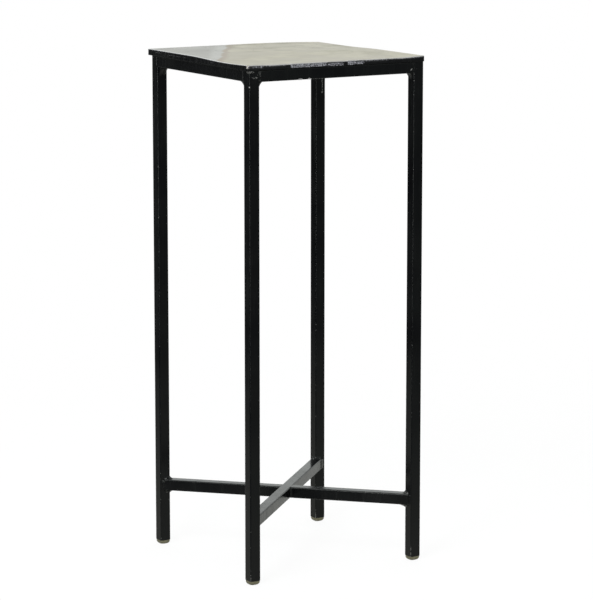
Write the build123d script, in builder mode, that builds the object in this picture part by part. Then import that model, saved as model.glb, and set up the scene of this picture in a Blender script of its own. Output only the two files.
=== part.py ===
"""Square metal pedestal table: a plate top on a welded frame of square steel tube.

The frame is centred on the origin with the floor at Z = 0. The front is -Y and the left is -X.
"""

import os
from math import sqrt

from build123d import *

# ---------------------------------------------------------------- driving dimensions, in millimetres
frame_width = 350.0  # over the legs, the same both ways
tube_width = 20.0
tube_wall = 1.5
tube_radius = 2.0  # rounded outer corners of the tube
foot_edge = 1.0  # dressed edge round the foot of each leg
frame_height = 895.0  # floor to the top of the legs and rails
stretcher_bottom = 101.5  # floor to the underside of the cross stretchers
glide_height = 7.0  # the part of each plastic glide that shows below its leg

top_width = 356.0
top_thickness = 11.0  # at its thickest: the dressed plate is about 10 over most of its area
top_shift_x = -2.5  # the top sits a little off the frame's centre
top_shift_y = 1.5
top_corner_radius = 1.5
top_arris = 0.8

glide_rim = 19.4  # square head under the end of the leg
glide_corner = 3.2  # its upright corners
glide_lip = 2.2  # upright part of the head, above its domed part
glide_lip_edge = 0.5
glide_sole = 11.0  # flat that stands on the floor, nearly round
glide_sole_corner = 5.2
glide_dome_rises = (0.0, 0.12, 0.35, 0.65, 1.0)  # heights of the dome's sections, as shares of its own
glide_stem = 13.6  # core that goes up the leg's bore
glide_stem_wall = 2.0
glide_stem_length = 18.0
glide_fin = 16.9  # grips the bore
glide_stem_radius = 1.5
glide_bore_radius = 1.0
glide_fin_radius = 0.6
glide_fin_thickness = 1.4
glide_fins = 3

weld_along_rail = 7.0  # fillet under each rail, where it meets a leg
weld_down_leg = 10.0
fillet_hollow = 0.36  # where a fillet's hollow face passes, as a share of each of its legs
seam_radius = 3.6  # crowned bead along a butt joint
seam_depth = 3.0  # how far the centre of that crown is below the surface
seam_lap = 0.6  # how far that centre is past the joint, on the leg
dressed_radius = 2.6  # the same, ground nearly flush
dressed_depth = 2.3
dressed_lap = 0.4
corner_bead = 3.0  # leg of the small beads in inner corners
stretcher_bead_out = 6.0  # fillet over and under a stretcher, along the stretcher
stretcher_bead_up = 5.0
tack_length = 15.0  # stitch welds that hold the top
tack_leg = 4.0
tack_spacing = 160.0

# ---------------------------------------------------------------- sizes that follow from them
half_tube = tube_width / 2
bore_width = tube_width - 2 * tube_wall
bore_radius = 0.5
flat_width = tube_width - 2 * tube_radius  # flat part of a tube's face
leg_centre = (frame_width - tube_width) / 2
inner_face = frame_width / 2 - tube_width  # inside faces of the legs and rails
rail_length = 2 * inner_face
rail_middle = frame_height - half_tube
rail_bottom = frame_height - tube_width
stretcher_middle = stretcher_bottom + half_tube
stretcher_top = stretcher_bottom + tube_width
leg_reach = sqrt(2) * leg_centre  # from the centre out to a leg's axis
ample = 4 * tube_width  # a cutter this long clears any weld

# Each corner is the front left one turned by a quarter turn about Z, anticlockwise from above.
corners = ("front_left", "front_right", "back_right", "back_left")
rails = ("front", "right", "back", "left")


def corner_turn(index):
    """Turn that takes the front left corner to another."""
    return Location((0, 0, 0), (0, 0, 90 * index))


def tube_section():
    """Square tube profile in the sketch that is open."""
    RectangleRounded(tube_width, tube_width, tube_radius)
    RectangleRounded(bore_width, bore_width, bore_radius, mode=Mode.SUBTRACT)


def save(node, name):
    """Names a finished piece and writes it."""
    node.part.label = name
    export_step(node.part, f"parts/{name}.step")


def save_turned(node, index, name):
    """Writes the front left piece, turned to its own corner or side."""
    with BuildPart() as turned:
        with Locations(corner_turn(index)):
            add(node.part)
    save(turned, name)


os.makedirs("parts", exist_ok=True)

# ---------------------------------------------------------------- top plate
with BuildPart() as top_plate:
    with BuildSketch(Plane.XY.offset(frame_height)):
        with Locations((top_shift_x, top_shift_y)):
            RectangleRounded(top_width, top_width, top_corner_radius)
    extrude(amount=top_thickness)
    fillet(top_plate.faces().sort_by(Axis.Z)[-1].edges(), top_arris)
save(top_plate, "top_plate")

# ---------------------------------------------------------------- legs and rails
with BuildPart() as leg:
    with BuildSketch(Plane.XY.offset(glide_height)):
        with Locations((-leg_centre, -leg_centre)):
            tube_section()
    extrude(amount=frame_height - glide_height)
    foot = leg.faces().sort_by(Axis.Z)[0]
    fillet(foot.outer_wire().edges(), foot_edge)

# The room that the legs fill, which the stretchers and their welds are notched to fit.
with BuildPart() as leg_room:
    with BuildSketch():
        with GridLocations(2 * leg_centre, 2 * leg_centre, 2, 2):
            RectangleRounded(tube_width, tube_width, tube_radius)
    extrude(amount=frame_height)

with BuildPart() as rail:
    with BuildSketch(Plane((-inner_face, -leg_centre, rail_middle), x_dir=(0, 1, 0), z_dir=(1, 0, 0))):
        tube_section()
    extrude(amount=rail_length)

for index, corner in enumerate(corners):
    save_turned(leg, index, f"{corner}_leg")
    save_turned(rail, index, f"{rails[index]}_rail")

# ---------------------------------------------------------------- cross stretchers
# One stretcher runs whole from the front left leg to the back right one. The other diagonal is two
# halves that butt against its sides. Their leg ends are notched to fit round the corner of the leg.


def diagonal_plane(turn, distance):
    """Plane across a stretcher, square to the diagonal at that angle, this far from the centre."""
    across = Plane.XY.rotated((0, 0, turn))
    middle = across.x_dir * distance + Vector(0, 0, stretcher_middle)
    return Plane(middle, x_dir=across.y_dir, z_dir=across.x_dir)


with BuildPart() as long_stretcher:
    with BuildSketch(diagonal_plane(45, 0)):
        tube_section()
    extrude(amount=leg_reach, both=True)
    add(leg_room.part, mode=Mode.SUBTRACT)
save(long_stretcher, "long_stretcher")

for name, turn in (("front_right", -45), ("back_left", 135)):
    with BuildPart() as short_stretcher:
        with BuildSketch(diagonal_plane(turn, half_tube)):
            tube_section()
        extrude(amount=leg_reach - half_tube)
        add(leg_room.part, mode=Mode.SUBTRACT)
    save(short_stretcher, f"{name}_stretcher")

# ---------------------------------------------------------------- foot glides
glide_bore = glide_stem - 2 * glide_stem_wall

glide_dome = glide_height - glide_lip

with BuildPart() as glide:
    # The dome widens from the sole to the rim along a quarter of an ellipse.
    for rise in glide_dome_rises:
        spread = sqrt(1 - (1 - rise) ** 2)
        width = glide_sole + (glide_rim - glide_sole) * spread
        corner_radius = glide_sole_corner + (glide_corner - glide_sole_corner) * rise
        with BuildSketch(Plane.XY.offset(glide_dome * rise)):
            with Locations((-leg_centre, -leg_centre)):
                RectangleRounded(width, width, corner_radius)
    loft()
    with BuildSketch(Plane.XY.offset(glide_dome)):
        with Locations((-leg_centre, -leg_centre)):
            RectangleRounded(glide_rim, glide_rim, glide_corner)
    extrude(amount=glide_lip)
    fillet(glide.faces().sort_by(Axis.Z)[-1].edges(), glide_lip_edge)
    with BuildSketch(Plane.XY.offset(glide_height)):
        with Locations((-leg_centre, -leg_centre)):
            RectangleRounded(glide_stem, glide_stem, glide_stem_radius)
            RectangleRounded(glide_bore, glide_bore, glide_bore_radius, mode=Mode.SUBTRACT)
    extrude(amount=glide_stem_length)
    for fin in range(1, glide_fins + 1):
        fin_top = glide_height + glide_stem_length * fin / glide_fins
        with BuildSketch(Plane.XY.offset(fin_top - glide_fin_thickness)):
            with Locations((-leg_centre, -leg_centre)):
                RectangleRounded(glide_fin, glide_fin, glide_fin_radius)
                RectangleRounded(glide_bore, glide_bore, glide_bore_radius, mode=Mode.SUBTRACT)
        extrude(amount=glide_fin_thickness)

for index, corner in enumerate(corners):
    save_turned(glide, index, f"{corner}_glide")

# ---------------------------------------------------------------- welds where two rails meet a leg
near = -inner_face  # the front left leg's inner faces are at X = near and Y = near
outer = -frame_width / 2


def concave_fillet(along, down):
    """Hollow-faced fillet below and beyond the origin of the sketch that is open."""
    with BuildLine() as outline:
        Line((0, 0), (along, 0))
        ThreePointArc((along, 0), (along * fillet_hollow, -down * fillet_hollow), (0, -down))
        Line((0, -down), (0, 0))
    make_face(outline.edges())


with BuildPart() as corner_weld:
    # Under the front rail, then under the left rail.
    with BuildSketch(Plane((near, near - tube_radius, rail_bottom), x_dir=(1, 0, 0), z_dir=(0, -1, 0))):
        concave_fillet(weld_along_rail, weld_down_leg)
    extrude(amount=flat_width)
    with BuildSketch(Plane((outer + tube_radius, near, rail_bottom), x_dir=(0, 1, 0), z_dir=(1, 0, 0))):
        concave_fillet(weld_along_rail, weld_down_leg)
    extrude(amount=flat_width)
    # Up the butt joints on the two outer faces, and up the inner corner of the ring.
    with BuildSketch(Plane.XY.offset(rail_bottom + tube_radius)):
        with Locations((near - seam_lap, outer + seam_depth), (outer + seam_depth, near - seam_lap)):
            Circle(seam_radius)
        with Locations((near, near)):
            Polygon((0, 0), (corner_bead, 0), (0, corner_bead), align=None)
        with Locations((-leg_centre, -leg_centre)):
            RectangleRounded(tube_width, tube_width, tube_radius, mode=Mode.SUBTRACT)
        with Locations((0, -leg_centre)):
            Rectangle(rail_length, tube_width, mode=Mode.SUBTRACT)
        with Locations((-leg_centre, 0)):
            Rectangle(tube_width, rail_length, mode=Mode.SUBTRACT)
    extrude(amount=flat_width)

for index, corner in enumerate(corners):
    save_turned(corner_weld, index, f"{corner}_corner_weld")

# ---------------------------------------------------------------- welds where a stretcher meets a leg
bead_reach = sqrt(2) * half_tube  # along a leg's face, from its corner to the stretcher's side


def chevron(height, rise):
    """Fillets against both inner faces of the front left leg, over or under its stretcher."""
    with BuildPart() as bead:
        with BuildSketch(Plane((near, near + stretcher_bead_out, height), x_dir=(1, 0, 0), z_dir=(0, -1, 0))):
            concave_fillet(stretcher_bead_out, -rise)
        extrude(amount=stretcher_bead_out + bead_reach)
        with BuildSketch(Plane((near - bead_reach, near, height), x_dir=(0, 1, 0), z_dir=(1, 0, 0))):
            concave_fillet(stretcher_bead_out, -rise)
        extrude(amount=stretcher_bead_out + bead_reach)
        with BuildSketch(Plane.XY.offset(height - tube_width)):
            with Locations(Location((near, near, 0), (0, 0, 45))):
                Rectangle(ample, flat_width)
        extrude(amount=ample, mode=Mode.INTERSECT)
        add(leg_room.part, mode=Mode.SUBTRACT)
    return bead.part


upper_chevron = chevron(stretcher_top, stretcher_bead_up)
lower_chevron = chevron(stretcher_bottom, -stretcher_bead_up)


with BuildPart() as stretcher_weld:
    add(upper_chevron)
    add(lower_chevron)
    diagonal_step = corner_bead / sqrt(2)
    with BuildSketch(Plane.XY.offset(stretcher_bottom + tube_radius)):
        with BuildLine():
            Polyline(
                (near, near - bead_reach),
                (near, near - bead_reach - corner_bead),
                (near + diagonal_step, near - bead_reach + diagonal_step),
                close=True,
            )
        make_face()
        with BuildLine():
            Polyline(
                (near - bead_reach, near),
                (near - bead_reach - corner_bead, near),
                (near - bead_reach + diagonal_step, near + diagonal_step),
                close=True,
            )
        make_face()
    extrude(amount=flat_width)

for index, corner in enumerate(corners):
    save_turned(stretcher_weld, index, f"{corner}_stretcher_weld")

# ---------------------------------------------------------------- welds at the stretchers' crossing
with BuildPart() as crossing_weld:
    # Upright beads in the four inner corners.
    with BuildSketch(Plane.XY.offset(stretcher_bottom + tube_radius)):
        for turn in (0, 90, 180, 270):
            with Locations(Location((0, 0, 0), (0, 0, 45 + turn))):
                Polygon(
                    (half_tube, half_tube),
                    (half_tube + corner_bead, half_tube),
                    (half_tube, half_tube + corner_bead),
                    align=None,
                )
    extrude(amount=flat_width)
    # Dressed beads over and under the butt joints.
    along = Plane.XY.rotated((0, 0, 45))
    seam_start = Vector(0, 0, stretcher_middle) - along.x_dir * flat_width / 2
    seam_side = half_tube - dressed_lap
    seam_height = half_tube - dressed_depth
    with BuildSketch(Plane(seam_start, x_dir=along.y_dir, z_dir=along.x_dir)):
        with GridLocations(2 * seam_side, 2 * seam_height, 2, 2):
            Circle(dressed_radius)
        RectangleRounded(tube_width, tube_width, tube_radius, mode=Mode.SUBTRACT)
        with GridLocations(2 * tube_width, 0, 2, 1):
            Rectangle(tube_width, tube_width, mode=Mode.SUBTRACT)
    extrude(amount=flat_width)
save(crossing_weld, "crossing_weld")

# ---------------------------------------------------------------- stitch welds that hold the top
with BuildPart() as top_stitches:
    for turn in (0, 90, 180, 270):
        side = Plane.XY.rotated((0, 0, turn))
        for place in (-tack_spacing / 2, tack_spacing / 2):
            rail_edge = Vector(0, 0, frame_height) - side.y_dir * inner_face
            start = rail_edge + side.x_dir * (place - tack_length / 2)
            with BuildSketch(Plane(start, x_dir=side.y_dir, z_dir=side.x_dir)):
                Polygon((-tube_radius, 0), (tack_leg, 0), (-tube_radius, -tack_leg - tube_radius), align=None)
                with Locations((-half_tube, -half_tube)):
                    RectangleRounded(tube_width, tube_width, tube_radius, mode=Mode.SUBTRACT)
            extrude(amount=tack_length)
save(top_stitches, "top_stitch_welds")
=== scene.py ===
"""Looks of the square pedestal table: worn steel top, black lacquered frame, weld beads and glides.

Everything is in metres, in the frame of the CAD: the floor is Z = 0, the front is -Y, the left is -X.
"""

from math import cos, pi, radians, sin, sqrt

import bmesh
import bpy
from mathutils import Matrix, Vector, noise


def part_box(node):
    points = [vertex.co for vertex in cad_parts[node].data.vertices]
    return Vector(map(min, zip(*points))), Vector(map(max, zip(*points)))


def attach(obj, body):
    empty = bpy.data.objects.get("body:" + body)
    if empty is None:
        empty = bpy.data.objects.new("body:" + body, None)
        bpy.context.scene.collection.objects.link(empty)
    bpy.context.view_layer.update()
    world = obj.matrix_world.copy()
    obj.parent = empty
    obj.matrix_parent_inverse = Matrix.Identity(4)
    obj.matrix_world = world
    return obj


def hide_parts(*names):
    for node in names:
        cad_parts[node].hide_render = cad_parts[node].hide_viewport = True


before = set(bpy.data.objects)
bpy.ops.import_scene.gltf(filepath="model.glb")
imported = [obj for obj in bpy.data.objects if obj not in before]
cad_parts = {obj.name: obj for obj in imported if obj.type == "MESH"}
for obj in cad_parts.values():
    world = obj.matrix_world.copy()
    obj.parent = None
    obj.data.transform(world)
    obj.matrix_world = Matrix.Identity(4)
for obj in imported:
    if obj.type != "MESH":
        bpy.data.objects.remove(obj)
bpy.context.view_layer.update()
mm = 0.001

# ---------------------------------------------------------------- sizes read from the frame
leg_low, leg_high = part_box("front_left_leg")
rail_low, rail_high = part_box("front_rail")
stretcher_low, stretcher_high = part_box("long_stretcher")
plate_low, plate_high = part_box("top_plate")

tube_width = leg_high.x - leg_low.x
half_tube = tube_width / 2
tube_radius = 2 * mm
outer_face = leg_low.x  # of the front left leg, in X and in Y alike
inner_face = leg_high.x
frame_top = leg_high.z
rail_bottom = rail_low.z
stretcher_bottom = stretcher_low.z
stretcher_top = stretcher_high.z

corners = ("front_left", "front_right", "back_right", "back_left")
rails = ("front_rail", "right_rail", "back_rail", "left_rail")
X, Y, Z = Vector((1, 0, 0)), Vector((0, 1, 0)), Vector((0, 0, 1))
diagonal = Vector((1, 1, 0)).normalized()  # along the long stretcher
across = Vector((1, -1, 0)).normalized()  # along the two short ones


def smoothstep(low, high, value):
    """0 below low, 1 above high, and an S-curve between."""
    share = min(1.0, max(0.0, (value - low) / (high - low)))
    return share * share * (3 - 2 * share)


def rough(point, size, seed=0.0):
    """Smooth noise from about -1 to 1, with features about this far apart."""
    return noise.noise(point / size + Vector((seed, 1.7 * seed, -seed)))


# ---------------------------------------------------------------- materials
class Shader:
    """A new material, and short ways to add the nodes it needs."""

    def __init__(self, name):
        self.material = bpy.data.materials.new(name)
        self.material.use_nodes = True
        self.tree = self.material.node_tree
        self.surface = self.tree.nodes["Principled BSDF"]
        self.place = self.add("TexCoord", {}, "Object")

    def put(self, socket, value):
        """Links a socket to an output, or sets its value."""
        if isinstance(value, bpy.types.NodeSocket):
            self.tree.links.new(value, socket)
        else:
            socket.default_value = value

    def add(self, kind, inputs, output=0, **settings):
        """A new node with these settings and inputs. Gives one of its outputs."""
        made = self.tree.nodes.new("ShaderNode" + kind)
        for key, value in settings.items():
            setattr(made, key, value)
        for key, value in inputs.items():
            self.put(made.inputs[key], value)
        return made.outputs[output]

    def noise(self, size, detail=2.0, place=None):
        """Noise from 0 to 1, with features about this many metres apart."""
        inputs = {"Vector": place or self.place, "Scale": 1 / size, "Detail": detail}
        return self.add("TexNoise", inputs)

    def span(self, value, low, high, start=0.0, end=1.0):
        """Carries a value from one range to another, and no further."""
        inputs = {0: value, 1: low, 2: high, 3: start, 4: end}
        return self.add("MapRange", inputs)

    def math(self, operation, first, second=0.0):
        """A sum, product or other operation on two values."""
        return self.add("Math", {0: first, 1: second}, operation=operation)

    def along(self, direction):
        """How far the place lies along a direction, from the origin."""
        inputs = {0: self.place, 1: direction}
        return self.add("VectorMath", inputs, 1, operation="DOT_PRODUCT")

    def axes(self, vector):
        """The X, Y and Z of a vector."""
        split = self.tree.nodes.new("ShaderNodeSeparateXYZ")
        self.put(split.inputs[0], vector)
        return split.outputs

    def mix(self, share, first, second):
        """Blend of two colours."""
        inputs = {0: share, 6: first, 7: second}
        return self.add("Mix", inputs, 2, data_type="RGBA")

    def stretched(self, scale):
        """The place, stretched along the axes so that noise turns into streaks."""
        return self.add("Mapping", {"Vector": self.place, "Scale": scale})

    def bump(self, height, distance, strength=1.0, under=None):
        """Relief of this many metres, on top of another if one is given."""
        inputs = {"Height": height, "Distance": distance, "Strength": strength}
        if under:
            inputs["Normal"] = under
        return self.add("Bump", inputs)

    def finish(self, **inputs):
        """Sets the surface's own sockets, by their names with _ for spaces."""
        for key, value in inputs.items():
            self.put(self.surface.inputs[key.replace("_", " ")], value)
        return self.material


black = (0.0026, 0.0029, 0.0044, 1)
black_thin = (0.0056, 0.0062, 0.0070, 1)
lacquer_tint = (0.95, 1.0, 0.96, 1)  # of its reflections
lacquer_index = 1.42
bare_grey = (0.33, 0.33, 0.32, 1)
bare_rougher = 0.2  # how much rougher than the lacquer
bare_metallic = 0.8
steel_warm = (0.485, 0.44, 0.345, 1)
steel_pale = (0.605, 0.562, 0.445, 1)
# The next two are painted reflection: the top's cool side and the lighter band at its border.
steel_cool_reflection = (0.43, 0.415, 0.39, 1)
steel_light_reflection = (0.53, 0.52, 0.495, 1)
steel_stained = (0.26, 0.235, 0.125, 1)
steel_rusty = (0.36, 0.27, 0.21, 1)
# Near-white steel: polished wear, which also serves as a painted highlight on the rim and as painted glints
# on the welds.
steel_polish_and_highlight = (0.86, 0.84, 0.84, 1)
steel_dull = (0.30, 0.29, 0.26, 1)
speck_black = (0.05, 0.045, 0.04, 1)
ground_dark = (0.06, 0.055, 0.07, 1)
ground_pale = (0.72, 0.72, 0.79, 1)
plastic_dark = (0.20, 0.19, 0.115, 1)
plastic_pale = (0.33, 0.315, 0.215, 1)
plastic_dirty = (0.09, 0.085, 0.065, 1)

# How the mesh's bare attribute runs on the top plate: 0 is lacquer, below 1 are ground edges, and these are
# the worn top and its polished rim, whose near-white steel is worn bare and is also a painted highlight.
top_bare = 1.1
rim_polish_and_highlight = 1.7

# Directions over the top: to the warm side, where a painted reflection makes it lighter and warmer and the
# other side cool, and to the more stained far corner. The bands that cross its painted cool side, a rusty
# stripe, a lighter band and a cool one, begin and end this many millimetres along the first one.
painted_reflection_way = (0.844, -0.538, 0)
far_way = (0.51, 0.86, 0)
rusty_band = (-98, -105)
light_reflection_band = (-110, -114)
cool_reflection_band = (-126, -136)

# The tube's long edges, as the largest part of the normal: from the flat to well round the corner.
edge_normals = (0.90, 0.76)


def lacquer_finish(shader, coarse=1.0):
    """Colour, roughness and relief of brushed black lacquer over steel."""
    cloud = shader.noise(70 * mm, 3)
    grain = shader.noise(5 * mm, 2)
    streaks = shader.noise(1, 4, shader.stretched((160, 160, 14)))
    colour = shader.mix(shader.span(cloud, 0.35, 0.7), black, black_thin)
    glossy = shader.span(cloud, 0.3, 0.7, 0.17, 0.27)
    roughness = shader.math("ADD", glossy, shader.span(streaks, 0.5, 0.8, 0, 0.12))
    relief = shader.bump(grain, 0.04 * mm * coarse)
    relief = shader.bump(streaks, 0.02 * mm, 1.0, relief)
    return colour, roughness, relief


def rubbed_edges(shader, turn):
    """Where the lacquer is through to the steel: chips along the tube's long edges, most near the foot."""
    normal = shader.add("TexCoord", {}, "Normal")
    turned = shader.add("VectorRotate", {"Vector": normal, "Angle": turn}, rotation_type="Z_AXIS")
    x, y, z = shader.axes(shader.add("VectorMath", {0: turned}, operation="ABSOLUTE"))
    largest = shader.math("MAXIMUM", shader.math("MAXIMUM", x, y), z)
    edge = shader.span(largest, *edge_normals)
    height = shader.axes(shader.place)[2]
    low_down = shader.span(height, 12 * mm, 45 * mm, 0.21, 0)
    chips = shader.math("ADD", shader.noise(3.5 * mm, 3), low_down)
    patches = shader.span(shader.noise(60 * mm, 1), 0.45, 0.65)
    chips = shader.math("ADD", chips, shader.math("MULTIPLY", patches, 0.03))
    return shader.math("MULTIPLY", edge, shader.span(chips, 0.685, 0.725))


def frame_lacquer(name, turn=0.0):
    """Black lacquer of a tube whose faces are turned this far about Z from the axes."""
    shader = Shader(name)
    colour, roughness, relief = lacquer_finish(shader)
    chipped = rubbed_edges(shader, turn)
    return shader.finish(
        Base_Color=shader.mix(chipped, colour, bare_grey),
        Roughness=shader.math("ADD", roughness, shader.math("MULTIPLY", chipped, bare_rougher)),
        Metallic=shader.math("MULTIPLY", chipped, bare_metallic),
        IOR=lacquer_index,
        Specular_Tint=lacquer_tint,
        Normal=relief,
    )


def weld_lacquer():
    """The same lacquer over weld metal, rubbed off where the mesh's bare attribute is high: worn steel that
    also paints the highlights on the crowns, near white as painted glints where it is highest.
    """
    shader = Shader("weld_lacquer")
    colour, roughness, relief = lacquer_finish(shader, 2.0)
    pits = shader.noise(1.4 * mm, 3)
    relief = shader.bump(pits, 0.12 * mm, 1.0, relief)
    bare = shader.add("Attribute", {}, "Fac", attribute_name="bare")
    rubbed = shader.span(shader.math("SUBTRACT", bare, shader.noise(1.8 * mm, 3)), -0.08, 0.10)
    # Above 1 the steel turns near white: fresh chips, and painted glints.
    steel = shader.mix(shader.span(bare, 1.0, 1.3), bare_grey, steel_polish_and_highlight)
    return shader.finish(
        Base_Color=shader.mix(rubbed, colour, steel),
        Roughness=shader.math("ADD", roughness, shader.math("MULTIPLY", rubbed, bare_rougher)),
        Metallic=shader.math("MULTIPLY", rubbed, bare_metallic),
        IOR=lacquer_index,
        Specular_Tint=lacquer_tint,
        Normal=relief,
    )


def worn_steel():
    """Brushed steel with a faint patina and a painted reflection across it, under black lacquer where the
    mesh's bare attribute is low.
    """
    shader = Shader("worn_steel_top")
    bare = shader.add("Attribute", {}, "Fac", attribute_name="bare")
    grains = shader.noise(1.7 * mm, 3)
    shown = shader.span(shader.math("SUBTRACT", bare, grains), -0.06, 0.06)

    # Steel: warm clouds and greenish stains, fine brushing and a few dark specks, and a painted reflection:
    # lighter to one side, cool to the other, with a rusty stripe and a lighter band at the border.
    reflection_side = shader.along(painted_reflection_way)
    aged = shader.span(shader.along(far_way), -60 * mm, 80 * mm, 0.25, 1)
    clouds = shader.noise(55 * mm, 4)
    reflection_border = shader.math("ADD", reflection_side, shader.span(clouds, 0.3, 0.7, -4 * mm, 4 * mm))
    reflection_border = shader.math("DIVIDE", reflection_border, mm)
    # Lighter towards the warm side: a painted reflection, over the random clouds.
    patina_and_reflection = shader.math("ADD", clouds, shader.span(reflection_side, -50 * mm, 220 * mm, -0.02, 0.10))
    steel = shader.mix(shader.span(patina_and_reflection, 0.42, 0.62), steel_warm, steel_pale)
    stains = shader.span(shader.noise(48 * mm, 7), 0.50, 0.64, 0, 0.62)
    steel = shader.mix(shader.math("MULTIPLY", stains, aged), steel, steel_stained)
    steel = shader.mix(shader.span(reflection_border, *rusty_band, 0, 0.6), steel, steel_rusty)
    # Painted reflection: a lighter band at the border, then the cool side beyond it.
    steel = shader.mix(shader.span(reflection_border, *light_reflection_band), steel, steel_light_reflection)
    steel = shader.mix(shader.span(reflection_border, *cool_reflection_band), steel, steel_cool_reflection)
    brushing = shader.noise(1, 5, shader.stretched((30, 900, 30)))
    steel = shader.mix(shader.span(brushing, 0.5, 0.8, 0, 0.12), steel, steel_dull)
    specks = shader.span(shader.noise(7 * mm, 2), 0.69, 0.72, 0, 0.85)
    steel = shader.mix(shader.math("MULTIPLY", specks, aged), steel, speck_black)
    # Near-white polished steel on the rim: worn bare, and also a painted highlight along the top edge.
    steel = shader.mix(shader.span(bare, 1.15, 1.6), steel, steel_polish_and_highlight)

    # Ground edges: mottled, from nearly black pits to bright scratches.
    pitting = shader.span(shader.noise(2.3 * mm, 3), 0.40, 0.60)
    ground = shader.mix(pitting, ground_dark, ground_pale)
    steel = shader.mix(shader.span(bare, 0.95, 1.05), ground, steel)
    pits = shader.math("MULTIPLY", pitting, shader.span(bare, 0.95, 1.05, 1, 0))
    satin = shader.span(clouds, 0.3, 0.7, 0.34, 0.42)
    satin = shader.math("ADD", satin, shader.span(brushing, 0.4, 0.7, -0.03, 0.04))

    colour, roughness, relief = lacquer_finish(shader, 2.0)
    relief = shader.bump(brushing, 0.02 * mm, 1.0, relief)
    relief = shader.bump(shader.math("MULTIPLY", pits, shown), 0.18 * mm, 1.0, relief)
    return shader.finish(
        Base_Color=shader.mix(shown, colour, steel),
        Metallic=shown,
        Roughness=shader.add("Mix", {0: shown, 2: roughness, 3: satin}),
        Normal=relief,
    )


def glide_plastic():
    """Moulded olive-beige plastic, scuffed and grubby towards the floor."""
    shader = Shader("glide_plastic_worn")
    mottling = shader.noise(6 * mm, 4)
    colour = shader.mix(shader.span(mottling, 0.3, 0.7), plastic_dark, plastic_pale)
    height = shader.axes(shader.place)[2]
    near_floor = shader.span(height, 0.5 * mm, 4 * mm, 0.35, 0)
    dirt = shader.math("ADD", near_floor, shader.noise(1.5 * mm, 3))
    colour = shader.mix(shader.span(dirt, 0.62, 0.85, 0, 0.6), colour, plastic_dirty)
    relief = shader.bump(shader.noise(0.7 * mm, 2), 0.05 * mm)
    return shader.finish(
        Base_Color=colour,
        Roughness=shader.span(mottling, 0.3, 0.7, 0.20, 0.34),
        Normal=relief,
    )


# ---------------------------------------------------------------- worn top plate
side_steps = 320  # points along each side at the rim
top_insets = (7, 11, 17)  # of the rings on the top, each with half the points of the last, in millimetres
under_insets = (6, 12, 20, 60)  # and on the underside
plate_half = (plate_high.x - plate_low.x) / 2
plate_middle = (plate_low + plate_high) / 2
plate_corner = 1.8 * mm  # rounding of the corners, seen from above
sharp_corner = 0.7 * mm  # the front right one, which is hardly worn
lower_edge = ((3, 0), (0.7, 0), (0.15, 0.2), (0, 0.7))  # its profile: inset and height in millimetres
side_rows = 8
notch_reach = 5 * mm  # how far the knock at the front left corner spreads

# Each side's direction, anticlockwise from the front, and its direction out of the plate.
plate_sides = ((X, -Y), (Y, X), (-X, Y), (-Y, -X))


# The plate is a little twisted and dished. Each of these takes a share of an edge's length, anticlockwise.
def front_drop(t):
    """How far the front edge's top has dropped, from the front left corner on."""
    dished = 0.95 * smoothstep(0.04, 0.14, t) - 0.3 * smoothstep(0.4, 0.6, t)
    return (1.8 + dished - 1.45 * smoothstep(0.88, 1, t)) * mm


def right_drop(t):
    """The same for the right edge, from the front right corner on."""
    return (1.0 + 2.1 * smoothstep(0.37, 0.75, t)) * mm


def back_drop(t):
    """The same for the back edge, from the back right corner on."""
    return 3.1 * max(0.0, 1 - t / 0.42) ** 2 * mm


def left_drop(t):
    """The same for the left edge, from the back left corner on."""
    return (2.9 * smoothstep(0.42, 0.78, t) - 1.1 * smoothstep(0.82, 1, t)) * mm


# Where the front edge is ground back and its lacquer is off: from and to as shares of its length, how bare
# it is, and in millimetres, how far below the top it is bare from and to, and how far back it is cut.
front_wear = (
    (-0.01, 0.10, 0.50, 0, 5.2, 1.2),
    (0.09, 0.22, 0.34, 0, 3.2, 1.0),
    (0.235, 0.45, 0.60, 0, 7.2, 2.3),
    (0.44, 0.545, 0.60, 2.4, 8.0, 2.3),
    (0.555, 0.61, 0.90, 0, 7.6, 2.6),
    (0.60, 0.66, 0.90, 2.8, 7.0, 2.2),
    (0.65, 0.80, 0.42, 0, 3.6, 1.1),
    (0.80, 1.01, 0.36, 0, 2.6, 0.8),
)
# Worn top edge along each side, in millimetres: its reach in from the side and down it.
arris_sizes = ((1.3, 1.3), (1.1, 1.1), (1.1, 1.1), (3.0, 0.4))
# Streaks where the left side is scuffed: from, to, depth below the top in millimetres.
left_scuffs = ((0.06, 0.16, 4.5), (0.20, 0.42, 5.5), (0.62, 0.70, 4.0))
side_bare = 0.22  # how bare the right, back and left sides are
scuff_bare = 0.46  # and where the left one is scuffed


def plate_drop(u, v):
    """How far the top has dropped at a place given as shares of the width and depth."""
    sides = (1 - v) * front_drop(u) + v * back_drop(1 - u) + u * right_drop(v) + (1 - u) * left_drop(1 - v)
    ends = (1 - u) * (1 - v) * front_drop(0) + u * (1 - v) * front_drop(1)
    ends += u * v * back_drop(0) + (1 - u) * v * back_drop(1)
    return sides - ends


def worn_stretch(start, end, t):
    """1 in a stretch of the front edge and 0 outside it."""
    return smoothstep(start, start + 0.012, t) * smoothstep(end, end - 0.012, t)


def front_cut(t):
    """How far down the front edge is ground there, and how far back at the top."""
    reach = back = 0.0
    for start, end, _, _, down, inward in front_wear:
        inside = worn_stretch(start, end, t)
        reach = max(reach, down * inside)
        back = max(back, inward * inside)
    return max(0.5, reach) * mm, back * mm


def front_bare(t, depth):
    """How bare the front edge is there, this far below the top."""
    bare = 0.0
    for start, end, amount, above, down, _ in front_wear:
        shown = smoothstep(down + 0.7, down - 0.7, depth / mm)
        if above:
            shown *= smoothstep(above - 0.6, above + 0.6, depth / mm)
        bare = max(bare, amount * shown * worn_stretch(start, end, t))
    return bare


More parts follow.
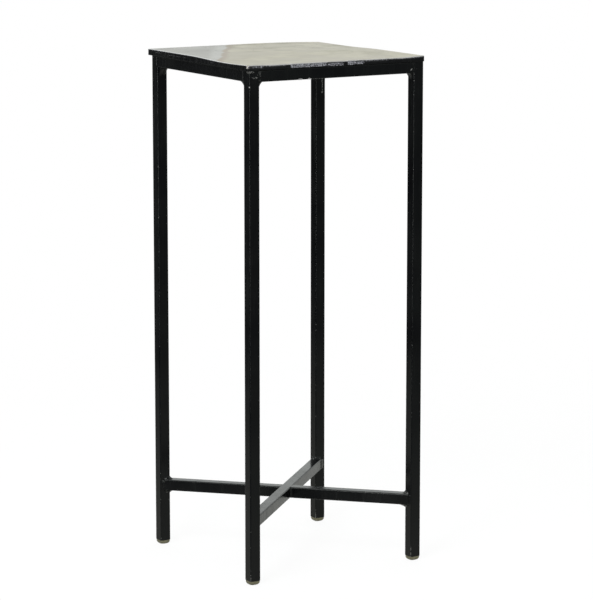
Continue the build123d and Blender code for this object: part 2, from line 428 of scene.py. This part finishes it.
def rim_wear(side, t, depth):
    """How bare the steel is, this far below the plate's top edge."""
    if side == 0:
        return front_bare(t, depth)
    worn = side_bare
    if side == 3:
        for start, end, level in left_scuffs:
            inside = smoothstep(start, start + 0.03, t) * smoothstep(end, end - 0.03, t)
            worn = max(worn, scuff_bare * inside * smoothstep(1.0, 0.4, abs(depth / mm - level)))
    return worn


def arris(side, t):
    """How far the worn top edge reaches in from the side and down it."""
    inward, down = arris_sizes[side]
    ends = smoothstep(0, 0.03, t) * smoothstep(1, 0.97, t)
    return (1.1 + (inward - 1.1) * ends) * mm, down * mm


def rim_point(side, t):
    """Place on the plate's outline, seen from above, and the direction out of the plate there."""
    along, out = plate_sides[side]
    place = along * (2 * t - 1) * plate_half + out * plate_half
    corner = sharp_corner if place.x > 0 > place.y else plate_corner
    flat = plate_half - corner
    core = Vector((max(-flat, min(flat, place.x)), max(-flat, min(flat, place.y)), 0))
    direction = (place - core).normalized()
    return core + direction * corner, direction


def plate_column(side, t):
    """Points up the plate's rim at one place, from the underside to the top, with how bare each is."""
    edge, out = rim_point(side, t)
    u = (edge.x + plate_half) / (2 * plate_half)
    v = (edge.y + plate_half) / (2 * plate_half)
    top = plate_high.z - plate_drop(u, v)
    height = top - plate_low.z
    away = Vector((edge.x, edge.y, 0))
    inward, down = arris(side, t)
    wobble = 1 + 0.30 * rough(away, 14 * mm) + 0.20 * rough(away, 4 * mm, 3)
    inward *= wobble
    down *= wobble
    from_corner = (Vector((-plate_half, -plate_half, 0)) - away).length
    notch = smoothstep(notch_reach, 0.3 * notch_reach, from_corner)
    reach, back = front_cut(t) if side == 0 else (mm, 0)

    rows = [(inset * mm, level * mm) for inset, level in lower_edge]
    side_low = rows[-1][1]
    for step in range(1, side_rows):
        rows.append((0, side_low + (height - down - side_low) * step / side_rows))
    for step in range(5):
        angle = step * pi / 8
        rows.append((inward * (1 - cos(angle)), height - down * (1 - sin(angle))))
    for inset in (0.5, 1.2):
        rows.append((inward + inset * mm, height))

    points = []
    for inset, level in rows:
        depth = height - level
        bare = rim_wear(side, t, depth)
        # The polished rim along the top edge: worn bare, and also a painted highlight.
        on_top = smoothstep(1.25 * down, 0.7 * down, depth)
        on_rim = on_top * smoothstep(inward + 1.1 * mm, inward, inset)
        bare = max(bare, top_bare * on_top, rim_polish_and_highlight * on_rim)
        inset += back * max(0.0, 1 - depth / reach)
        spot = Vector((edge.x, edge.y, level))
        worn = (0.10 + 0.55 * min(1.0, bare)) * (0.5 + 0.5 * rough(spot, 2.6 * mm, 5)) * mm
        worn += 0.25 * mm * max(0.0, rough(spot, 9 * mm, 8))
        worn += notch * 2.2 * mm * smoothstep(6.5 * mm, 2 * mm, depth)
        if level < 0.5 * mm or depth < 0.05 * mm:
            worn = 0.0
        lift = -notch * 1.2 * mm * smoothstep(3 * mm, 0, depth)
        place = edge - out * (inset + worn) + plate_middle
        # The knocked corner: bare polished steel, and also a painted glint on it.
        bare = max(bare, rim_polish_and_highlight * notch * smoothstep(6.0 * mm, 4.6 * mm, depth))
        points.append((Vector((place.x, place.y, plate_low.z + level + lift)), bare))
    return points


def square_ring(steps, half):
    """Points of a square about the plate's middle, at the height of its top."""
    ring = []
    for along, out in plate_sides:
        for step in range(steps):
            place = along * (2 * step / steps - 1) * half + out * half
            ring.append(top_point(place))
    return ring


def top_point(place):
    """Point of the top surface over a place given from the plate's middle."""
    u = (place.x + plate_half) / (2 * plate_half)
    v = (place.y + plate_half) / (2 * plate_half)
    spot = place + Vector((plate_middle.x, plate_middle.y, 0))
    from_edge = plate_half - max(abs(place.x), abs(place.y))
    wave = 0.10 * mm * rough(spot, 60 * mm, 2) * smoothstep(0, 25 * mm, from_edge)
    return Vector((spot.x, spot.y, plate_high.z - plate_drop(u, v) + wave - 0.08 * mm))


def bridge(faces, fine, coarse):
    """Joins a ring to the next one in, which has as many points or half as many."""
    count = len(coarse)
    if len(fine) == count:
        for k in range(count):
            after = (k + 1) % count
            faces.append((fine[k], fine[after], coarse[after], coarse[k]))
        return
    for k in range(count):
        after = (k + 1) % count
        first, middle, last = fine[2 * k], fine[2 * k + 1], fine[(2 * k + 2) % len(fine)]
        faces.append((first, middle, coarse[k]))
        faces.append((middle, coarse[after], coarse[k]))
        faces.append((middle, last, coarse[after]))


def make_top_plate():
    """Dense worn rim, with rings of fewer and fewer points towards the middle of each face."""
    points, bare, faces = [], [], []

    def add_ring(places, share):
        start = len(points)
        points.extend(places)
        bare.extend([share] * len(places))
        return list(range(start, len(points)))

    columns = []
    for side in range(4):
        columns += [plate_column(side, step / side_steps) for step in range(side_steps)]
    rim = []
    for row in range(len(columns[0])):
        start = len(points)
        points.extend(column[row][0] for column in columns)
        bare.extend(column[row][1] for column in columns)
        rim.append(list(range(start, len(points))))
    for lower, upper in zip(rim, rim[1:]):
        bridge(faces, lower, upper)

    # Top: thinning rings, then a grid.
    outer = rim[-1]
    steps = side_steps
    for inset in top_insets:
        steps //= 2
        ring = add_ring(square_ring(steps, plate_half - inset * mm), top_bare)
        bridge(faces, outer, ring)
        outer = ring
    half = plate_half - top_insets[-1] * mm
    grid = {}
    for k, index in enumerate(outer):
        side, step = divmod(k, steps)
        spot = ((step, 0), (steps, step), (steps - step, steps), (0, steps - step))[side]
        grid[spot] = index
    for column in range(1, steps):
        for row in range(1, steps):
            place = Vector((2 * column / steps - 1, 2 * row / steps - 1, 0)) * half
            grid[column, row] = add_ring([top_point(place)], top_bare)[0]
    for column in range(steps):
        for row in range(steps):
            spots = ((column, row), (column + 1, row), (column + 1, row + 1), (column, row + 1))
            faces.append(tuple(grid[spot] for spot in spots))

    # Underside: flat, with rings of the same kind and one face in the middle.
    outer = rim[0]
    steps = side_steps
    for inset in under_insets:
        steps //= 2
        ring = [Vector((p.x, p.y, plate_low.z)) for p in square_ring(steps, plate_half - inset * mm)]
        ring = add_ring(ring, 0.0)
        under = []
        bridge(under, outer, ring)
        faces.extend(tuple(reversed(face)) for face in under)
        outer = ring
    faces.append(tuple(reversed(outer)))

    return bare_mesh("top_plate_worn", points, bare, faces)


def bare_mesh(name, points, bare, faces):
    """A smooth mesh that knows how bare it is at each point."""
    mesh = bpy.data.meshes.new(name)
    mesh.from_pydata(points, [], faces)
    layer = mesh.attributes.new("bare", "FLOAT", "POINT")
    layer.data.foreach_set("value", bare)
    mesh.shade_smooth()
    return mesh


# ---------------------------------------------------------------- weld beads
class Bead:
    """Weld metal laid along a line of stations.

    A station is the root of the bead, the two directions in which it spreads over the steel, how far
    it spreads each way, and its crown: above 0 bulges out, below 0 is hollow.
    """

    arc_steps = 9
    sink = 0.45 * mm  # the toes run this far into the steel

    def __init__(self, seed, ripple=0.10 * mm, lumps=0.25 * mm, worn=0.2):
        self.seed = seed
        self.ripple = ripple
        self.lumps = lumps
        # worn: how far its lacquer is rubbed off along the crown, which also paints the highlights there.
        self.worn = worn  # how far its lacquer is rubbed off along the crown
        self.stations = []

    def lay(self, root, first, second, reach_first, reach_second, crown, out=None):
        """Adds a station. The bead faces out, or halfway between its two directions."""
        out = out or (first + second).normalized()
        self.stations.append((root, first, second, reach_first, reach_second, crown, out))

    def straight(self, start, end, *shape, out=None, step=0.8 * mm):
        """Stations along a straight run, tapered at both ends."""
        count = max(4, round((end - start).length / step))
        first, second, reach_first, reach_second, crown = shape
        for k in range(count + 1):
            share = k / count
            taper = 0.35 + 0.65 * smoothstep(0, 0.12, min(share, 1 - share))
            root = start.lerp(end, share)
            self.lay(root, first, second, reach_first * taper, reach_second * taper, crown * taper, out)
        return self

    def section(self, k):
        """Points round the bead at one station, each with how bare it is."""
        root, first, second, reach_first, reach_second, crown, out = self.stations[k]
        wobble = 1 + 0.16 * rough(root, 3.5 * mm, self.seed)
        reach_first *= wobble
        reach_second *= 1 + 0.16 * rough(root, 3.5 * mm, self.seed + 5)
        normal_first = (out - first * out.dot(first)).normalized()
        normal_second = (out - second * out.dot(second)).normalized()
        start = root + first * reach_first - normal_first * self.sink
        end = root + second * reach_second - normal_second * self.sink
        places = []
        for step in range(self.arc_steps + 1):
            share = step / self.arc_steps
            hump = 4 * share * (1 - share)
            place = start.lerp(end, share) + out * (crown + self.sink) * hump
            wave = self.ripple * sin(2.4 * k + 2.2 * hump + self.seed)
            lump = rough(place, 2.4 * mm, self.seed + 2)
            crest = min(1.0, 1.5 * hump)
            bare = self.worn * crest * (1 + 1.2 * lump)
            places.append((place + out * (wave + self.lumps * lump) * crest, bare))
        places.append((root - out * 2 * self.sink, 0.0))
        return places

    def add_to(self, points, bare, faces):
        """Adds the bead's closed skin to a mesh's points and faces."""
        base = len(points)
        size = self.arc_steps + 2
        for k in range(len(self.stations)):
            for place, share in self.section(k):
                points.append(place)
                bare.append(share)
        for k in range(len(self.stations) - 1):
            for j in range(size):
                a, b = base + k * size + j, base + k * size + (j + 1) % size
                faces.append((a, b, b + size, a + size))
        faces.append(tuple(range(base + size - 1, base - 1, -1)))
        last = base + (len(self.stations) - 1) * size
        faces.append(tuple(range(last, last + size)))


def spatter(points, bare, faces, place, out, radius, seed, worn):
    """A blob of weld spatter, half sunk in the surface."""
    base = len(points)
    rings, around = 5, 10
    flatness = 0.7
    side = out.orthogonal().normalized()
    other = out.cross(side)
    points.append(place + out * radius * flatness)
    for ring in range(1, rings + 1):
        angle = pi * ring / (rings + 1)
        for k in range(around):
            turn = 2 * pi * k / around
            way = (side * cos(turn) + other * sin(turn)) * sin(angle) + out * flatness * cos(angle)
            size = radius * (1 + 0.3 * rough(way, 1.0, seed))
            points.append(place + way * size)
    points.append(place - out * radius * flatness)
    first = base + 1
    last = first + (rings - 1) * around
    for k in range(around):
        after = (k + 1) % around
        faces.append((base, first + k, first + after))
        for ring in range(first, last, around):
            faces.append((ring + k, ring + around + k, ring + around + after, ring + after))
        faces.append((last + k, last + around, last + after))
    bare.extend([worn] * (len(points) - base))


def weld_mesh(name, beads, spots=(), turn=0.0):
    """One mesh of several beads and blobs, turned about Z."""
    points, bare, faces = [], [], []
    for bead in beads:
        bead.add_to(points, bare, faces)
    for seed, (place, out, radius, worn) in enumerate(spots):
        spatter(points, bare, faces, place, out, radius, seed + turn, worn)
    mesh = bare_mesh(name, points, bare, faces)
    mesh.transform(Matrix.Rotation(turn, 4, "Z"))
    fix_normals(mesh)
    return mesh


def fix_normals(mesh):
    """Turns all faces outwards."""
    work = bmesh.new()
    work.from_mesh(mesh)
    bmesh.ops.recalc_face_normals(work, faces=work.faces)
    work.to_mesh(mesh)
    work.free()


near = inner_face  # the front left leg's inner faces, in X and in Y
low_seam = rail_bottom + 1.5 * mm
high_seam = frame_top - 1.0 * mm
seam_leg = 4.0 * mm  # how far a seam's bead spreads over the leg
seam_rail = 4.5 * mm  # and over the rail


def edge_bead(seed, height, length, crown):
    """Lump of weld round the leg's outer upright edge: its height, length round the edge, and crown."""
    # Its crown is rubbed nearly bare, which also paints the highlight along it.
    bead = Bead(seed, 0.10 * mm, 0.3 * mm, 0.72)
    centre = outer_face + tube_radius
    flat = length / 2
    steps = 8
    for k in range(steps + 1):
        away = flat * (1 - k / steps)
        bead_taper(bead, Vector((centre + away, outer_face, height)), -Y, away / flat, crown)
    for k in range(1, 6):
        way = Vector((-sin(k * pi / 12), -cos(k * pi / 12), 0))
        bead_taper(bead, Vector((centre, centre, height)) + way * tube_radius, way, 0, crown)
    for k in range(steps + 1):
        away = flat * k / steps
        bead_taper(bead, Vector((outer_face, centre + away, height)), -X, away / flat, crown)
    return bead


def bead_taper(bead, root, out, share, crown):
    """One station of an edge bead, smaller towards its ends, where share is 1."""
    size = 1 - 0.65 * smoothstep(0.4, 1, share)
    bead.lay(root, Z, -Z, 2.4 * mm * size, 3.0 * mm * size, crown * size, out)


# Fillets under the two rails at each corner, in millimetres: reach along the rail, reach down the leg and
# hollow. The first rail is the one anticlockwise from the leg.
rail_fillets = {
    "front_left": ((7.5, 17, 3.4), (21, 18, 5.8)),
    "front_right": ((9, 12, 2.6), (8.5, 15, 3.2)),
    "back_right": ((9, 12, 2.6), (10, 12, 2.8)),
    "back_left": ((21, 17, 5.4), (9, 12, 2.6)),
}


def under_bead(seed, corner, rail):
    """Fillet under one of the two rails that meet at a corner, laid at the front left one."""
    along, down, hollow = [size * mm for size in rail_fillets[corner][rail]]
    inset = 1.0 * mm  # from the tubes' sides
    start = Vector((near, outer_face + inset, rail_bottom))
    end = Vector((near, near - inset, rail_bottom))
    way = X
    if rail == 1:
        start = start.yxz
        end = end.yxz
        way = Y
    return Bead(seed + 11 * rail).straight(start, end, way, -Z, along, down, -hollow)


# How far the lacquer is rubbed off the seams on the outer faces at each corner, which also paints their
# highlights: first rail, second rail.
seam_wear_and_highlight = {
    "front_left": (0.36, 0.10),
    "front_right": (0.20, 0.22),
    "back_right": (0.20, 0.20),
    "back_left": (0.14, 0.20),
}
# Dribbles of weld on the outer faces: which rail's face, from and to as distance along the rail from the
# leg and height above the rail's underside, then half width, all in millimetres, and how bare, which also
# paints their highlights.
weld_dribbles = {
    "front_left": ((0, (-15, 7.5), (-4, 7.5), 2.0, 0.5), (0, (0, 13), (2.5, 15.5), 1.2, 0.55)),
    "front_right": ((1, (7.5, 3.5), (3.5, 8.5), 1.3, 0.75), (1, (-3.5, 7.5), (-6.5, 7.0), 1.0, 0.5)),
    "back_right": (),
    "back_left": (),
}


def dribble_bead(seed, rail, start, end, half_width, worn):
    """Short line of weld on the outer face of one of the two rails and the front left leg."""
    along, out = ((X, -Y), (Y, -X))[rail]
    ends = []
    for distance, height in (start, end):
        ends.append(along * (near + distance * mm) - out * outer_face + Z * (rail_bottom + height * mm))
    low, high = ends
    side = out.cross(high - low).normalized()
    reach = half_width * mm
    bead = Bead(seed, 0.10 * mm, 0.45 * mm, worn)
    return bead.straight(low, high, side, -side, reach, reach, 0.7 * mm, out=out, step=0.6 * mm)


# A run of lacquer that ends in a drop, down the front face of the back right leg; its pale bare crown and
# drop are painted highlights. Laid at the front left leg, like the welds, so it is on that leg's inner
# face.
run_place = outer_face + half_tube - 3.6 * mm
run_high = rail_bottom - 25 * mm
run_low = rail_bottom - 62.5 * mm
run_half_width = 0.9 * mm
drop_radius = 1.9 * mm


def lacquer_run(seed):
    """The run, as a thin ridge whose pale bare crown is a painted highlight."""
    high = Vector((run_place, near, run_high))
    low = Vector((run_place + 0.5 * mm, near, run_low))
    bead = Bead(seed, 0.05 * mm, 0.15 * mm, 0.62)
    return bead.straight(low, high, X, -X, run_half_width, run_half_width, 0.6 * mm, out=Y, step=0.6 * mm)


def corner_beads(seed, corner):
    """Welds that join two rails to the front left leg, with the sizes of one of the corners."""
    first_wear, second_wear = seam_wear_and_highlight[corner]
    front_seam = Bead(seed + 23, 0.08 * mm, 0.55 * mm, first_wear).straight(
        Vector((near, outer_face, low_seam)), Vector((near, outer_face, high_seam)),
        X, -X, seam_rail, seam_leg, 0.45 * mm, out=-Y,
    )
    left_seam = Bead(seed + 31, 0.06 * mm, 0.45 * mm, second_wear).straight(
        Vector((outer_face, near, low_seam)), Vector((outer_face, near, high_seam)),
        Y, -Y, seam_rail, seam_leg, 0.3 * mm, out=-X,
    )
    inside = Bead(seed + 43).straight(
        Vector((near, near, low_seam)), Vector((near, near, high_seam)), X, Y, 4 * mm, 4 * mm, -0.6 * mm
    )
    beads = [under_bead(seed, corner, rail) for rail in range(2)]
    beads += [front_seam, left_seam, inside]
    beads += [dribble_bead(seed + 57 + k, *dribble) for k, dribble in enumerate(weld_dribbles[corner])]
    if corner == "front_left":
        beads.append(edge_bead(seed + 71, frame_top - 2.6 * mm, 15 * mm, 1.2 * mm))
    if corner == "back_right":
        beads.append(lacquer_run(seed + 83))
    return beads


# Chips along the lower front edge of the front rail: from and to in millimetres, along X.
rail_chips = ((-77.5, -71.5), (-59, -54))
chip_spacing = 1.2
# The same near-white bareness paints the glint on the front left leg's edge.
polished = 1.4  # how bare a fresh chip is


def chip_spots():
    """Small bare lumps where the lower front edge of the front rail is chipped."""
    spots = []
    out = (-Y - Z).normalized()
    for start, end in rail_chips:
        count = round((end - start) / chip_spacing)
        for k in range(count + 1):
            along = start + (end - start) * k / count
            place = Vector((along * mm, outer_face + 0.5 * mm, rail_bottom + 0.9 * mm))
            radius = (1.4 + 0.4 * rough(place, 1.3 * mm)) * mm
            spots.append((place, out, radius, polished))
    return spots


def corner_spots(seed, corner):
    """Spatter round a corner weld: place, direction out of the steel, radius and how bare it is."""
    edge = outer_face + 0.6 * mm
    inner_edge = near - 0.6 * mm
    spots = []
    if corner == "front_left":
        # A painted glint: a polished bare blob on the leg's edge below the rail.
        place = Vector((edge, edge, rail_bottom - 8 * mm))
        spots += chip_spots()
        spots.append((place, -diagonal, 1.4 * mm, polished))
    if corner == "front_right":
        # A painted highlight: a bare blob on the leg's edge below the rail.
        place = Vector((edge, inner_edge, rail_bottom - 13 * mm))
        spots.append((place, -across, 1.0 * mm, 0.8))
    if corner == "back_right":
        # The drop at the run's foot, pale bare steel as a painted highlight.
        place = Vector((run_place + 1.0 * mm, near, run_low))
        spots.append((place, Y, drop_radius, 0.8))
    # Spatter rubbed bare, which also paints highlights on it.
    spatter_wear_and_highlight = 0.5 if corner.startswith("front") else 0.3
    for k in range(9):
        lift = rough(Vector((k, seed, 0)), 0.37, 1) * 9 * mm
        shift = rough(Vector((k, seed, 5)), 0.41, 2) * 12 * mm
        place = Vector((near - 3 * mm + shift, outer_face + 0.2 * mm, rail_bottom + 8 * mm + lift))
        spots.append((place, -Y, (0.55 + 0.3 * rough(place, 1 * mm)) * mm, spatter_wear_and_highlight))
    for k in range(4):
        lift = rough(Vector((k, seed, 9)), 0.37, 1) * 9 * mm
        shift = rough(Vector((k, seed, 3)), 0.41, 2) * 10 * mm
        place = Vector((outer_face + 0.2 * mm, near - 4 * mm + shift, rail_bottom + 6 * mm + lift))
        spots.append((place, -X, (0.45 + 0.25 * rough(place, 1 * mm)) * mm, 0.3))
    return spots


# Half the width over which the beads cross a stretcher's top, which ends in rounded edges.
cross_half = 9 * mm

# Fillets where a stretcher meets each leg, in millimetres: their reach along the stretcher above, below
# and at its sides, and their height on the leg above and below.
stretcher_fillets = {
    "front_left": (6, 7, 5, 5, 5),
    "front_right": (7, 15, 5, 6, 6.5),
    "back_right": (6, 8, 14, 6, 5),
    "back_left": (7, 10, 6, 6, 6),
}


def chevron_bead(seed, height, up, along, rise):
    """Fillet over or under a stretcher, round the inner corner of the front left leg."""
    # Its crown is rubbed bare in places, which also paints highlights on it.
    bead = Bead(seed, 0.12 * mm, 0.5 * mm, 0.30)
    side_reach = sqrt(2) * cross_half  # where the stretcher's top ends, along each face of the leg
    hollow = -0.22 * min(along, rise)
    distances = [side_reach - 0.6 * mm - k * 0.7 * mm for k in range(15)]

    def lay(root, way, distance):
        reach = min(along, side_reach - distance + 0.8 * mm)
        bead.lay(root, way, up, reach, min(rise, reach + 1 * mm), hollow * min(1, reach / rise))

    for distance in distances:
        lay(Vector((near - distance, near, height)), Y, distance)
    centre = Vector((near - tube_radius, near - tube_radius, height))
    for k in range(1, 6):
        way = Vector((sin(k * pi / 12), cos(k * pi / 12), 0))
        bead.lay(centre + way * tube_radius, way, up, along, rise, hollow)
    for distance in reversed(distances):
        lay(Vector((near, near - distance, height)), X, distance)
    return bead


def stretcher_beads(seed, corner):
    """Welds that join a stretcher to the front left leg, with the sizes of one of the corners."""
    above, below, beside, rise, drop = [size * mm for size in stretcher_fillets[corner]]
    beads = [
        chevron_bead(seed, stretcher_top, Z, above, rise),
        chevron_bead(seed + 3, stretcher_bottom, -Z, below, drop),
    ]
    reach = sqrt(2) * half_tube
    for flip, start in enumerate((Vector((near - reach, near, 0)), Vector((near, near - reach, 0)))):
        along_leg = -Y if flip else -X
        low = start + Z * (stretcher_bottom + 0.5 * mm)
        high = start + Z * (stretcher_top - 0.5 * mm)
        bead = Bead(seed + 7 + flip, 0.10 * mm, 0.3 * mm)
        beads.append(bead.straight(low, high, along_leg, diagonal, 3.4 * mm, beside, 0.3 * mm))
    return beads


def crossing_beads():
    """Welds where the two short stretchers butt against the long one."""
    beads = []
    for k in range(4):
        way_long = diagonal * (1 if k % 2 else -1)
        way_short = across * (1 if k // 2 else -1)
        root = (way_long + way_short) * half_tube
        low = root + Z * (stretcher_bottom + 1 * mm)
        high = root + Z * (stretcher_top - 1 * mm)
        beads.append(Bead(60 + k).straight(low, high, way_long, way_short, 4 * mm, 4 * mm, -0.7 * mm))
    for height, up in ((stretcher_top, Z), (stretcher_bottom, -Z)):
        for way in (across, -across):
            middle = way * half_tube + Z * height
            start = middle - diagonal * cross_half
            end = middle + diagonal * cross_half
            bead = Bead(80 + 5 * height + way.x, 0.05 * mm, 0.22 * mm)
            beads.append(bead.straight(start, end, way, -way, 3.2 * mm, 2.6 * mm, 0.1 * mm, out=up))
    return beads


def stitch_beads():
    """Short welds between the rails' inner faces and the underside of the top."""
    spacing = 160 * mm
    length = 15 * mm
    beads = []
    for index in range(4):
        turn = Matrix.Rotation(index * pi / 2, 3, "Z")
        for place in (-spacing / 2, spacing / 2):
            start = turn @ Vector((place - length / 2, near, frame_top))
            end = turn @ Vector((place + length / 2, near, frame_top))
            bead = Bead(100 + 3 * index + place, 0.15 * mm, 0.3 * mm)
            beads.append(bead.straight(start, end, -Z, turn @ Y, 4 * mm, 4 * mm, 0.2 * mm))
    return beads


# ---------------------------------------------------------------- pieces in the scene
def place_piece(name, mesh, material, slot, *nodes):
    """Puts a new piece in the scene in place of CAD nodes."""
    mesh.materials.append(material)
    piece = bpy.data.objects.new(name, mesh)
    bpy.context.scene.collection.objects.link(piece)
    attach(piece, "root")
    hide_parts(*nodes)


def paint(node, material):
    """Gives a CAD node a better material."""
    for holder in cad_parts[node].material_slots:
        holder.material = material


def make_pieces():
    """Places the worn plate and all welds, and paints the CAD's tubes and glides."""
    weld = weld_lacquer()
    place_piece("top_plate_worn", make_top_plate(), worn_steel(), "top_steel", "top_plate")
    for index, corner in enumerate(corners):
        turn = index * pi / 2
        seed = 17.0 * index
        beads = corner_beads(seed, corner)
        spots = corner_spots(seed, corner)
        mesh = weld_mesh(f"{corner}_corner_beads", beads, spots, turn)
        place_piece(mesh.name, mesh, weld, "frame_lacquer", f"{corner}_corner_weld")
        mesh = weld_mesh(f"{corner}_stretcher_beads", stretcher_beads(seed + 5, corner), (), turn)
        place_piece(mesh.name, mesh, weld, "frame_lacquer", f"{corner}_stretcher_weld")
    mesh = weld_mesh("crossing_beads", crossing_beads())
    place_piece(mesh.name, mesh, weld, "frame_lacquer", "crossing_weld")
    mesh = weld_mesh("top_stitch_beads", stitch_beads())
    place_piece(mesh.name, mesh, weld, "frame_lacquer", "top_stitch_welds")

    straight = frame_lacquer("frame_lacquer_square")
    slanting = frame_lacquer("frame_lacquer_diagonal", pi / 4)
    plastic = glide_plastic()
    for corner in corners:
        paint(f"{corner}_leg", straight)
        paint(f"{corner}_glide", plastic)
    for rail in rails:
        paint(rail, straight)
    for stretcher in ("long_stretcher", "front_right_stretcher", "back_left_stretcher"):
        paint(stretcher, slanting)


# ---------------------------------------------------------------- camera, floor and light
view_turn = radians(30.681)  # the camera looks this far to the right of +Y
view_fall = radians(9.888)  # and this far down
view_place = (-2.6258, -4.4615, 1.3645)
view_lens = 176.35  # in millimetres, on a sensor 36 mm wide
view_forward = (sin(view_turn), cos(view_turn), 0)
view_right = (cos(view_turn), -sin(view_turn), 0)
white = (1, 1, 1, 1)

floor_reach = 4.0
floor_grey = (0.5, 0.5, 0.5, 1)
floor_warm = (1.0, 0.98, 0.86, 1)  # colour of its glow, as the table sees it
floor_glow = 0.55  # strength of that glow
floor_glow_seen = 0.72  # and of the white one that the camera sees
floor_alpha = 0.35  # near the table
floor_fade = (0.45, 2.0)  # where the floor begins to fade out, and where it has gone
glow_fade = (0.25, 0.6)  # the same for its glow, towards the front left
studio_tint = (0.965, 1.0, 0.98, 1)  # the studio's colour, as the table sees it

# Soft lights: name, place, width and height, and power in watts.
soft_lights = (
    ("key", (-2.0, -1.2, 2.6), (1.2, 1.2), 25),
    ("strip", (-2.2, -1.7, 0.5), (0.35, 1.0), 9),
)


def make_camera():
    """Camera at the height and angle from which the table is seen."""
    data = bpy.data.cameras.new("camera")
    data.sensor_width = 36
    data.lens = view_lens
    camera = bpy.data.objects.new("camera", data)
    camera.location = view_place
    camera.rotation_euler = (pi / 2 - view_fall, 0, -view_turn)
    bpy.context.scene.collection.objects.link(camera)
    bpy.context.scene.camera = camera


def make_floor():
    """Pale round floor that fades out, so that its rim doesn't show. Its front left doesn't glow."""
    mesh = bpy.data.meshes.new("floor")
    around = 64
    rim = [Matrix.Rotation(2 * pi * k / around, 3, "Z") @ X * floor_reach for k in range(around)]
    mesh.from_pydata(rim, [], [tuple(range(around))])
    floor = bpy.data.objects.new("floor", mesh)
    bpy.context.scene.collection.objects.link(floor)
    shader = Shader("floor_paper")
    distance = shader.add("VectorMath", {0: shader.place}, 1, operation="LENGTH")
    front_left = shader.along((-cos(view_turn), -sin(view_turn), 0))
    glow = shader.span(front_left, *glow_fade, floor_glow, 0)
    seen = shader.add("LightPath", {}, "Is Camera Ray")
    shader.finish(
        Base_Color=floor_grey,
        Roughness=0.9,
        Specular_IOR_Level=0.1,
        Emission_Color=shader.mix(seen, floor_warm, white),
        Emission_Strength=shader.add("Mix", {0: seen, 2: glow, 3: floor_glow_seen}),
        Alpha=shader.span(distance, *floor_fade, floor_alpha, 0),
    )
    mesh.materials.append(shader.material)


def make_world():
    """White studio: brightest behind the table, dim below the horizon where the floor ends."""
    world = bpy.data.worlds.new("studio")
    world.use_nodes = True
    bpy.context.scene.world = world
    nodes = world.node_tree.nodes
    links = world.node_tree.links

    def add(kind, inputs, output=0, **settings):
        made = nodes.new("ShaderNode" + kind)
        for key, value in settings.items():
            setattr(made, key, value)
        for key, value in inputs.items():
            if isinstance(value, bpy.types.NodeSocket):
                links.new(value, made.inputs[key])
            else:
                made.inputs[key].default_value = value
        return made.outputs[output]

    def towards(direction):
        return add("VectorMath", {0: place, 1: direction}, "Value", operation="DOT_PRODUCT")

    def ramp(value, low, high, start, end):
        inputs = {0: value, 1: low, 2: high, 3: start, 4: end}
        return add("MapRange", inputs, interpolation_type="SMOOTHSTEP")

    place = add("TexCoord", {}, "Generated")
    height = add("SeparateXYZ", {0: place}, "Z")
    behind = towards(view_forward)
    rightward = towards(view_right)
    low_side = ramp(rightward, -0.9, 0.9, 0.02, 0.12)
    high_side = ramp(rightward, -0.9, 0.9, 0.28, 0.5)
    below = ramp(behind, 0.45, 0.95, low_side, 0.62)
    above = ramp(behind, 0.35, 0.95, high_side, 1.0)
    studio = ramp(height, -0.06, 0.12, below, above)
    seen = add("LightPath", {}, "Is Camera Ray")
    background = nodes["Background"]
    strength = add("Mix", {0: seen, 2: studio, 3: 1.0})
    colour = add("Mix", {0: seen, 6: studio_tint, 7: white}, 2, data_type="RGBA")
    links.new(colour, background.inputs["Color"])
    links.new(strength, background.inputs["Strength"])


def make_light(name, place, size, power):
    """Soft rectangular light that faces the middle of the table."""
    data = bpy.data.lights.new(name, "AREA")
    data.shape = "RECTANGLE"
    data.size, data.size_y = size
    data.energy = power
    light = bpy.data.objects.new(name, data)
    light.location = place
    aim = Z * 0.5 - Vector(place)
    light.rotation_euler = aim.to_track_quat("-Z", "Y").to_euler()
    bpy.context.scene.collection.objects.link(light)


make_camera()
make_floor()
make_world()
for light in soft_lights:
    make_light(*light)
make_pieces()
bpy.context.scene.view_settings.view_transform = "Standard"
